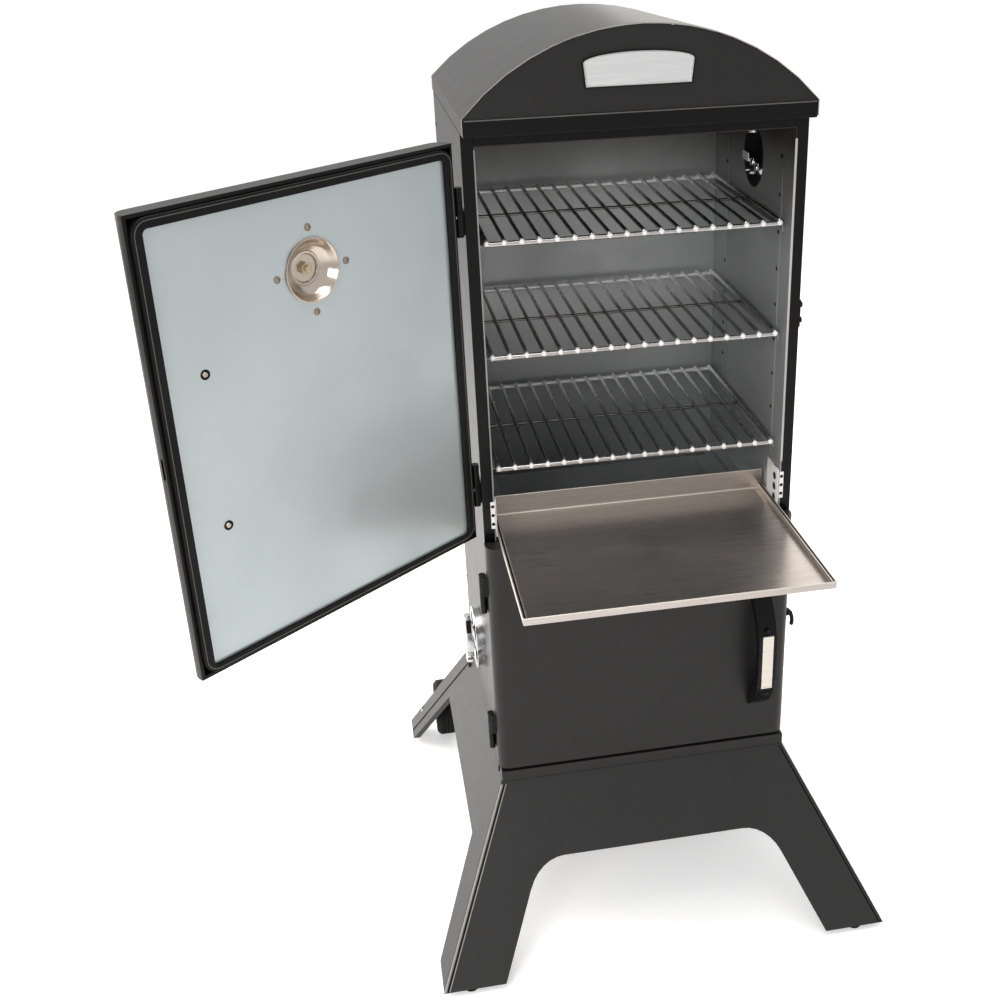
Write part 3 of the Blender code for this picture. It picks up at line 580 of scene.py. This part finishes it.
def make_tray_details():
    """Painted highlights on the folds round the tray, with painted shade in a groove between the two hems of each
    side.
    """
    low, high = local_box("tray")
    rim = low.z + 0.0090
    hems = Piece("tray_hem_highlights", "serving_tray", "brushed_steel", pale_plate_and_fold_highlight)
    groove = Piece("tray_groove_shade", "serving_tray", "brushed_steel", painted_shade_and_black)
    for side in (-1, 1):
        for outer, inner, rise in TRAY_HEMS:
            left, right = span(side, high.x - outer, high.x - inner)
            hems.box((left, low.y + 0.0030, low.z + 0.0016), (right, high.y - 0.0016, rim + rise))
        left, right = span(side, high.x - 0.0012, high.x - 0.0042)
        groove.box((left, low.y + 0.0034, low.z + 0.0018), (right, high.y - 0.0020, rim - 0.0012))
    hems.done(0.0003)
    groove.done()
    fold = Piece("tray_fold_highlight", "serving_tray", "brushed_steel", pale_plate_and_fold_highlight)
    fold.crosswise(high.x - 0.003, high.y - 0.0016, low.z + 0.0021, 0.0015)
    fold.crosswise(high.x, low.y + 0.0004, rim, 0.0009)
    fold.crosswise(high.x, high.y - 0.0006, high.z, 0.0009)
    fold.done()


EAR_X = (0.1984, 0.2042)  # the ears that the brackets turn outwards beside the doorway
EAR_Z = (0.6440, 0.6840)
EAR_HOLES = (0.6510, 0.6640, 0.6770)
FLANGE_BACK = 0.0460
FLANGE_HOLES = (0.6400, 0.6560, 0.6720)


def make_bracket_details():
    """The tray brackets' flanges and front ears, painted pale as painted light, with painted shade in their holes.
    """
    for side, name in ((-1, "left"), (1, "right")):
        low, high = local_box(f"tray_bracket_{name}")
        face = low.x if side > 0 else -high.x
        flange = Piece(f"bracket_flange_{name}", "cabinet", "chrome", painted_highlight_pale)
        holes = Piece(f"bracket_hole_shade_{name}", "cabinet", "black_paint", painted_shade_and_black)
        left, right = span(side, face - 0.0001, face + 0.0015)
        flange.box((left, low.y - 0.0002, low.z + 0.0005), (right, FLANGE_BACK, high.z - 0.0005))
        for z in FLANGE_HOLES:
            holes.rod((side * face, 0.0150, z), (side * (face - 0.0003), 0.0150, z), 0.0056)
        left, right = span(side, *EAR_X)
        flange.box((left, -0.00010, EAR_Z[0]), (right, 0.00030, EAR_Z[1]))
        x = side * (EAR_X[0] + EAR_X[1]) / 2
        for z in EAR_HOLES:
            holes.rod((x, 0.0, z), (x, -0.00015, z), 0.0024, 16)
        flange.done(0.0001)
        holes.done()


HOLE_COLUMNS = (0.046, 0.274)  # behind the doorway
HOLE_COUNT = 9
HOLE_PITCH = 0.0490


def make_chamber_details():
    """Painted shade in two columns of screw holes, and the bright returns beside the doorway, the left one darker
    as painted shade.
    """
    wall = local_box("liner_right")[0].x
    holes = Piece("liner_hole_shade", "cabinet", "black_paint", painted_shade_and_black)
    for side in (-1, 1):
        for y in HOLE_COLUMNS:
            for i in range(HOLE_COUNT):
                z = 0.7150 + HOLE_PITCH * i
                holes.rod((side * (wall + 0.0005), y, z), (side * (wall - 0.0017), y, z), 0.0027, 12)
    holes.done()
    for name, side, width, head, material in (
        ("left", -1, 0.0010, 1.1470, shaded_trim),
        ("right", 1, 0.0023, 1.1370, pale_trim),
    ):
        trim = Piece(f"doorway_trim_{name}", "cabinet", "brushed_steel", material)
        left, right = span(side, wall + width, wall - 0.0006)
        trim.box((left, -0.00015, 0.7000), (right, 0.0003, head))
        trim.done(0.0001)


def make_exhaust_clip():
    """The bright clip and screw heads at the exhaust's inner end."""
    wall = local_box("liner_right")[0].x
    low, high = local_box("exhaust_housing")
    y, z = (low.y + high.y) / 2, (low.z + high.z) / 2
    clip = Piece("exhaust_clip", "cabinet", "chrome")
    clip.box((wall - 0.0050, y + 0.0080, z - 0.0090), (wall - 0.0030, y + 0.0330, z + 0.0030))
    clip.box((wall - 0.0034, y - 0.0300, z - 0.0090), (wall - 0.0022, y + 0.0100, z - 0.0050))
    clip.ball((wall - 0.0040, y - 0.0080, z - 0.0068), 0.0050, (0.6, 1, 1))
    clip.ball((wall - 0.0040, y - 0.0260, z - 0.0110), 0.0050, (0.6, 1, 1))
    clip.done(0.0008)


def make_damper_details():
    """Painted shade in a recess on both sides of each damper's grip, and a round cap on its lower end."""
    for side, name in ((-1, "intake"), (1, "exhaust")):
        low, high = local_box(f"{name}_disc")
        y, z, radius = (low.y + high.y) / 2, (low.z + high.z) / 2, (high.z - low.z) / 2
        outer = high.x if side > 0 else -low.x
        recess = Piece(f"{name}_grip_recess_shade", f"{name}_damper", "chrome", painted_shade_and_black)
        left, right = span(side, outer - 0.0026, outer - 0.0100)
        for face in (y - 0.0055, y + 0.0055):
            recess.box((left, face - 0.0001, z + 0.22 * radius), (right, face + 0.0001, z + 0.70 * radius))
        recess.done()
        cap = Piece(f"{name}_grip_cap", f"{name}_damper", "chrome")
        foot = z - 0.62 * radius
        cap.rod((side * outer, y, foot), (side * (outer - 0.0120), y, foot), 0.0090, 24)
        cap.done(0.0020)


def make_hinge_details():
    """Screw heads on the hinges' cabinet leaves, and a glint on the upper hinges' barrels."""
    dots = Piece("hinge_screws", "cabinet", "chrome", screw_steel)
    for name in ("upper_hinge_top", "upper_hinge_bottom", "lower_hinge_top", "lower_hinge_bottom"):
        low, high = local_box(name)
        middle = (low.z + high.z) / 2 - 0.004
        if name.startswith("upper"):
            dots.ball((HINGE_PIN.x - 0.0036, HINGE_PIN.y - 0.0020, middle), 0.0018)
        for z in (low.z + 0.006, low.z + 0.020):
            dots.ball((low.x + 0.0052, 0.0150, z), 0.0028, (0.4, 1, 1))
    dots.done()


SCREW_RING = 0.047  # from the thermometer's centre to its screws
DIAL_MARKS = 25


def make_thermometer_details():
    """A polished dish in the recess with a nut, and four screws round it."""
    low, high = door_box("upper_door", "thermometer_cup")
    x, z, rim = (low.x + high.x) / 2, (low.z + high.z) / 2, high.y
    dish = Piece("thermometer_dish", "upper_door", "brushed_steel", polished_dish)
    profile = [
        (0.0335, rim - 0.0030),
        (0.0358, rim + 0.0002),
        (0.0362, rim + 0.0010),
        (0.0345, rim + 0.0012),
        (0.0325, rim - 0.0010),
        (0.0300, rim - 0.0065),
        (0.0255, rim - 0.0112),
        (0.0200, rim - 0.0138),
        (0.0185, rim - 0.0125),
        (0.0165, rim - 0.0128),
        (0.0150, rim - 0.0150),
        (0.0005, rim - 0.0152),
        (0.0005, rim - 0.0168),
        (0.0215, rim - 0.0160),
        (0.0320, rim - 0.0080),
    ]
    dish.lathe(profile, (x, 0, z))
    dish.done()
    nut = Piece("thermometer_nut", "upper_door", "chrome", brass)
    nut.rod((x, rim - 0.0155, z), (x, rim - 0.0100, z), 0.0075, 6)
    nut.rod((x, rim - 0.0105, z), (x, rim - 0.0070, z), 0.0040)
    nut.done(0.0005)
    screws = Piece("thermometer_screws", "upper_door", "chrome", dark_screw)
    for a, b in ((SCREW_RING, 0), (-SCREW_RING, 0), (0, SCREW_RING), (0, -SCREW_RING)):
        screws.rod((x + a, rim - 0.0012, z + b), (x + a, rim - 0.0002, z + b), 0.0042)
        screws.ball((x + a, rim - 0.0002, z + b), 0.0030, (1, 0.5, 1))
    screws.done(0.0002)


def make_dial_details():
    """A bezel, marks and a needle on the thermometer's outer face."""
    low, high = door_box("upper_door", "thermometer_cup")
    x, z = (low.x + high.x) / 2, (low.z + high.z) / 2
    face = door_box("upper_door", "thermometer_dial")[0].y
    bezel = Piece("dial_bezel", "upper_door", "chrome")
    profile = [
        (0.0405, face + 0.0110),
        (0.0412, face + 0.0010),
        (0.0400, face - 0.0014),
        (0.0372, face - 0.0012),
        (0.0365, face + 0.0004),
        (0.0365, face + 0.0110),
    ]
    bezel.lathe(profile, (x, 0, z))
    bezel.done()
    marks = Piece("dial_marks", "upper_door", "black_paint", painted_shade_and_black)
    for i in range(DIAL_MARKS):
        turn = math.radians(-135 + 270 * i / (DIAL_MARKS - 1))
        long_mark = i % 4 == 0
        near, width = (0.0255, 0.0007) if long_mark else (0.0290, 0.0004)
        ends = [(x + r * math.sin(turn), face - 0.0003, z + r * math.cos(turn)) for r in (near, 0.0335)]
        marks.rod(*ends, width, 6)
    marks.rod((x, face, z), (x, face - 0.0016, z), 0.0036)
    tail, tip = (x + 0.006, face - 0.0010, z - 0.0055), (x - 0.018, face - 0.0010, z + 0.0170)
    marks.rod(tail, tip, 0.0011, 8, 0.0003)
    marks.done()


def rounded(low, high, radius, steps=6):
    """The outline of a rectangle with rounded corners."""
    outline = []
    corners = ((high[0], high[1], 0), (low[0], high[1], 90), (low[0], low[1], 180), (high[0], low[1], 270))
    for x, z, start in corners:
        middle_x = x - radius if x == high[0] else x + radius
        middle_z = z - radius if z == high[1] else z + radius
        for i in range(steps + 1):
            turn = math.radians(start + 90 * i / steps)
            outline.append((middle_x + radius * math.cos(turn), middle_z + radius * math.sin(turn)))
    return outline


def facing(a, b, c):
    """Stands an outline's point up in the plane of the doors, at depth c."""
    return a, c, b


def make_seal_highlights():
    """A painted highlight along the crease that runs round each door's seal."""
    for door in DOORS:
        low, high = door_box(door, f"{door}_gasket")
        crease = Piece(f"{door}_seal_highlight", door, "gasket", soft_painted_highlight)
        outer, inner = [
            rounded((low.x + inset, low.z + inset), (high.x - inset, high.z - inset), radius)
            for inset, radius in ((0.0026, 0.0155), (0.0036, 0.0145))
        ]
        crease.band(outer, inner, facing, high.y - 0.0006, high.y + 0.0001)
        crease.done()


BOLT_X = 0.1503  # the upper handle's bolts on the door's inner panel
BOLT_HEIGHTS = (0.9806, 0.8067)


def make_handle_bolts():
    """Bolt heads of the upper handle, on dark washers on the inner panel."""
    panel = door_box("upper_door", "upper_door_panel")[1].y
    heads = Piece("handle_bolts", "upper_door", "chrome", screw_steel)
    rings = Piece("handle_bolt_washers", "upper_door", "black_paint", painted_shade_and_black)
    for z in BOLT_HEIGHTS:
        rings.rod((BOLT_X, panel, z), (BOLT_X, panel + 0.0006, z), 0.0056)
        x, middle = BOLT_X + 0.0006, z + 0.0003
        heads.rod((x, panel + 0.0004, middle), (x, panel + 0.0020, middle), 0.0034, 20, 0.0026)
    rings.done()
    heads.done(0.0003)


def make_catch_bead():
    """The rounded hook that hangs from the lower door's catch."""
    hook = Piece("catch_bead", "lower_door", "black_paint")
    edge, y, top = 0.2138, -0.0085, 0.4700
    bends = (
        (0.0020, -0.0040),
        (0.0075, -0.0090),
        (0.0100, -0.0165),
        (0.0108, -0.0240),
        (0.0100, -0.0300),
    )
    hook.wire([(edge + a, y, top + b) for a, b in bends], 0.0030)
    hook.ball((edge + 0.0030, y, top - 0.0100), 0.0040)
    hook.done()


def make_handle_details():
    """A raised border on each handle's plate, and a screw at each end of the bow."""
    for door in DOORS:
        low, high = door_box(door, f"{door}_handle_plate")
        border = Piece(f"{door}_plate_border", door, "brushed_steel", bright_steel)
        outer, inner = [
            [(left, foot), (right, foot), (right, head), (left, head)]
            for left, foot, right, head in (
                (low.x, low.z, high.x, high.z),
                (low.x + 0.0014, low.z + 0.0014, high.x - 0.0014, high.z - 0.0014),
            )
        ]
        border.band(outer, inner, facing, low.y - 0.0004, low.y + 0.0003)
        border.done(0.0002)
        screws = Piece(f"{door}_handle_screws", door, "black_paint")
        x = (low.x + high.x) / 2
        for z in (low.z - 0.0090, high.z + 0.0090):
            screws.rod((x, low.y + 0.0010, z), (x, low.y - 0.0006, z), 0.0034)
        screws.done(0.0004)


def arch(half, foot, rise, steps=20):
    """The points of half an ellipse, from right to left."""
    turns = [math.pi * i / steps for i in range(steps + 1)]
    return [(half * math.cos(turn), foot + rise * math.sin(turn)) for turn in turns]


def make_band_highlight():
    """A painted highlight along the top of the hood's band."""
    low, high = local_box("hood_band")
    edge = Piece("band_highlight", "cabinet", "charcoal_paint", soft_painted_highlight)
    edge.rod((low.x + 0.001, low.y + 0.0008, high.z), (high.x - 0.001, low.y + 0.0008, high.z), 0.0008, 8)
    edge.done()


BADGE_CROWN = 0.0110  # the height of the name plate's curved top
BADGE_TAPER = 0.003  # how much narrower each side is at its foot


def make_badge_border():
    """A bright raised border round the plain name plate, and a painted shadow line round that."""
    low, high = local_box("badge")
    middle, half = (low.x + high.x) / 2, (high.x - low.x) / 2
    shoulder = high.z - BADGE_CROWN
    border = Piece("badge_border", "cabinet", "brushed_steel", bright_steel)

    def outline(inset):
        crown = [(middle + a, b) for a, b in arch(half - inset, shoulder, BADGE_CROWN - inset)]
        foot = half - BADGE_TAPER - inset
        return crown + [(middle - foot, low.z + inset), (middle + foot, low.z + inset)]

    border.band(outline(0.0004), outline(0.0022), facing, low.y - 0.0008, low.y + 0.0004)
    border.done(0.0002)
    rim = Piece("badge_shadow_line", "cabinet", "black_paint", painted_shade_and_black)
    rim.band(outline(-0.0012), outline(0.0002), facing, low.y - 0.0002, high.y)
    rim.done()


def front_edge(side, inset, z):
    """A point on the front base panel's face, inset from its slanted side edge."""
    low, high = local_box("base_front")
    part = (BASE_TOP - z) / (BASE_TOP - LEG_BOTTOM)
    y = BASE_FRONT + (low.y - BASE_FRONT) * part
    return Vector((side * (BASE_HALF + (high.x - BASE_HALF) * part - inset), y, z))


SIDE_SEAM_Y = 0.3186  # the seam near the side panels' rear edges, at BASE_TOP
BOLT_DROP = 0.020
BASE_BOLT = 0.0055


def make_base_details():
    """Painted highlights on the front panel's left edge, dark seams, and bolts on the sides and back."""
    edges = Piece("base_bend_highlights", "cabinet", "charcoal_paint", painted_edge_highlight)
    seams = Piece("base_seams", "cabinet", "charcoal_paint", shadow_gap)
    bolts = Piece("base_bolts", "cabinet", "black_paint")
    top, bottom = BASE_TOP - 0.004, LEG_BOTTOM + 0.001
    for inset, radius in ((0.0014, 0.0017), (0.0076, 0.0009)):
        edges.rod(front_edge(-1, inset, top), front_edge(-1, inset, bottom), radius, 8)
    seams.crosswise(BASE_HALF, BASE_FRONT - 0.0004, BASE_TOP, 0.0013, 8)
    for side in (-1, 1):
        seams.rod(front_edge(side, 0.0055, top), front_edge(side, 0.0055, bottom), 0.0010, 8)
        ends = []
        for z in (BASE_TOP - 0.003, LEG_BOTTOM + 0.002):
            drop = BASE_TOP - z
            ends.append((side * (BASE_HALF + drop * FLARE + 0.0001), SIDE_SEAM_Y + drop * FLARE_BACK, z))
        seams.rod(*ends, 0.0011, 8)
        z = BASE_TOP - BOLT_DROP
        bolts.ball((side * (BASE_HALF + BOLT_DROP * FLARE), 0.320, z), BASE_BOLT, (0.6, 1, 0.9))
        for x in (0.12, 0.19):
            bolts.ball((side * x, BASE_BACK + BOLT_DROP * FLARE_BACK, z), BASE_BOLT, (1, 0.6, 0.9))
    edges.done()
    seams.done()
    bolts.done()


RIVET = 0.0032


def make_rivets():
    """Small rivets along the cabinet's rear corners and the back's edges."""
    rivets = Piece("rivets", "cabinet", "charcoal_paint")
    half = local_box("shell_right")[1].x
    back = local_box("shell_back")[1].y
    for side in (-1, 1):
        for i in range(9):
            z = 0.275 + 0.106 * i
            rivets.ball((side * half, back - 0.014, z), RIVET, (0.45, 1, 1))
            rivets.ball((side * (half - 0.012), back, z), RIVET, (1, 0.45, 1))
    for i in range(5):
        x = -0.160 + 0.080 * i
        rivets.ball((x, back, 0.262), RIVET, (1, 0.45, 1))
        rivets.ball((x, back, 1.150), RIVET, (1, 0.45, 1))
    rivets.done()


def make_back_ribs():
    """Three pressed ribs across the back."""
    back = local_box("shell_back")[1].y
    ribs = Piece("back_ribs", "cabinet", "charcoal_paint")
    for z in (0.480, 0.700, 0.920):
        ribs.wire([(-0.150, back, z), (0.150, back, z)], 0.0035)
    ribs.done()


SPOKES = 6


def make_wheel_details():
    """Tread grooves, and a domed hub cap with spokes on each wheel."""
    for side, name in ((-1, "left"), (1, "right")):
        low, high = local_box(f"wheel_{name}")
        y, z, radius = (low.y + high.y) / 2, (low.z + high.z) / 2, (high.z - low.z) / 2
        near, far = (low.x, high.x) if side > 0 else (high.x, low.x)
        turns = [2 * math.pi * i / 40 for i in range(40)]
        tread = Piece(f"wheel_{name}_grooves", f"{name}_wheel", "rubber", shadow_gap)
        outer, inner = [
            [(y + ring * math.cos(turn), z + ring * math.sin(turn)) for turn in turns]
            for ring in (radius + 0.00012, radius - 0.00088)
        ]
        for part in (0.2, 0.4, 0.6):
            x = near + (far - near) * part
            tread.band(outer, inner, lambda a, b, c: (c, a, b), x - 0.0010, x + 0.0010)
        tread.done()
        cap = Piece(f"wheel_{name}_cap", f"{name}_wheel", "rubber", hub_plastic)
        cap.rod((far - side * 0.004, y, z), (far + side * 0.0010, y, z), 0.0150, 24, 0.0120)
        for i in range(SPOKES):
            turn = 2 * math.pi * i / SPOKES
            end = (far - side * 0.0048, y + 0.029 * math.cos(turn), z + 0.029 * math.sin(turn))
            cap.rod((far - side * 0.0040, y, z), end, 0.0028, 8)
        cap.done(0.0006)


# ---------------------------------------------------------------- studio and camera

WARM = (1.0, 0.93, 0.86)
SLIGHTLY_WARM = (1.0, 0.97, 0.94)


def make_floor():
    """A wide pale floor that fades into the white behind the object."""
    size = 60.0
    mesh = bpy.data.meshes.new("floor")
    corners = [(-size, -size, 0), (size, -size, 0), (size, size, 0), (-size, size, 0)]
    mesh.from_pydata(corners, [], [(0, 1, 2, 3)])
    floor = bpy.data.objects.new("floor", mesh)
    floor.location.z = cad_box[0].z - 0.0002
    bpy.context.scene.collection.objects.link(floor)
    paint = Paint("pale_floor", (0.86, 0.86, 0.86), 0.9, specular=0.0)
    paint.shader.inputs["Emission Color"].default_value = (1.0, 1.0, 1.0, 1.0)
    seen = paint.add("ShaderNodeLightPath").outputs["Is Camera Ray"]
    paint.link(paint.ramp(seen, 0.0, 0.36, 0.0, 1.0), paint.shader.inputs["Emission Strength"])
    mesh.materials.append(paint.material)


def make_world(strength):
    """Even white light, drawn as pure white behind the object."""
    world = bpy.data.worlds.new("studio")
    world.use_nodes = True
    tree = world.node_tree
    background = tree.nodes["Background"]
    background.inputs["Color"].default_value = (1.0, 1.0, 1.0, 1.0)
    spread = tree.nodes.new("ShaderNodeMapRange")
    spread.inputs["To Min"].default_value = strength
    spread.inputs["To Max"].default_value = 1.0
    tree.links.new(tree.nodes.new("ShaderNodeLightPath").outputs["Is Camera Ray"], spread.inputs["Value"])
    tree.links.new(spread.outputs["Result"], background.inputs["Strength"])
    bpy.context.scene.world = world


def make_softbox(name, place, size, power, target, colour=(1, 1, 1)):
    """A rectangular lamp at a place in the cabinet's coordinates, aimed at a target."""
    lamp = bpy.data.lights.new(name, "AREA")
    lamp.shape = "RECTANGLE"
    lamp.size, lamp.size_y = size
    lamp.energy = power
    lamp.color = colour
    holder = bpy.data.objects.new(name, lamp)
    holder.location = CABINET + Vector(place)
    aim = CABINET + Vector(target) - holder.location
    holder.rotation_euler = aim.to_track_quat("-Z", "Y").to_euler()
    bpy.context.scene.collection.objects.link(holder)


def make_camera():
    """Stands at the left of the doorway, a little above the hood, looking down into the chamber."""
    yaw, pitch, roll = math.radians(9.711), math.radians(24.584), math.radians(-1.715)
    camera = bpy.data.cameras.new("camera")
    camera.sensor_width = 36.0
    camera.lens = 45.25
    camera.shift_x = -0.0664
    camera.shift_y = -0.0384
    camera.clip_start, camera.clip_end = 0.05, 200.0
    holder = bpy.data.objects.new("camera", camera)
    forward = Vector((math.sin(yaw) * math.cos(pitch), math.cos(yaw) * math.cos(pitch), -math.sin(pitch)))
    level = Vector((math.cos(yaw), -math.sin(yaw), 0.0))
    upright = level.cross(forward)
    right = math.cos(roll) * level + math.sin(roll) * upright
    up = math.cos(roll) * upright - math.sin(roll) * level
    turn = Matrix((right, up, -forward)).transposed().to_4x4()
    holder.matrix_world = Matrix.Translation(CABINET + Vector((-0.3557, -1.4958, 1.4266))) @ turn
    bpy.context.scene.collection.objects.link(holder)
    bpy.context.scene.camera = holder


# ---------------------------------------------------------------- build

dress_frame()
paint_front()
paint_dampers()
make_racks()
make_tray_details()
make_bracket_details()
make_chamber_details()
make_exhaust_clip()
make_damper_details()
make_hinge_details()
make_seal_highlights()
make_thermometer_details()
make_dial_details()
make_handle_bolts()
make_catch_bead()
make_handle_details()
make_band_highlight()
make_badge_border()
make_base_details()
make_rivets()
make_back_ribs()
make_wheel_details()
make_floor()
make_world(0.75)
make_softbox("overhead", (-0.6, 0.2, 3.2), (2.5, 2.5), 90, (0, 0.1, 0.6), SLIGHTLY_WARM)
make_softbox("left_back", (-2.6, 1.6, 1.8), (1.6, 2.6), 78, (0, 0.1, 0.8), WARM)
make_softbox("right_back", (1.9, 3.1, 2.3), (2.8, 2.2), 22, (0.1, 0.0, 0.7), WARM)
make_softbox("front_left", (-1.5, -2.0, 1.7), (0.9, 0.9), 25, (0.1, 0.2, 0.9))
make_camera()
bpy.context.scene.view_settings.view_transform = "Standard"
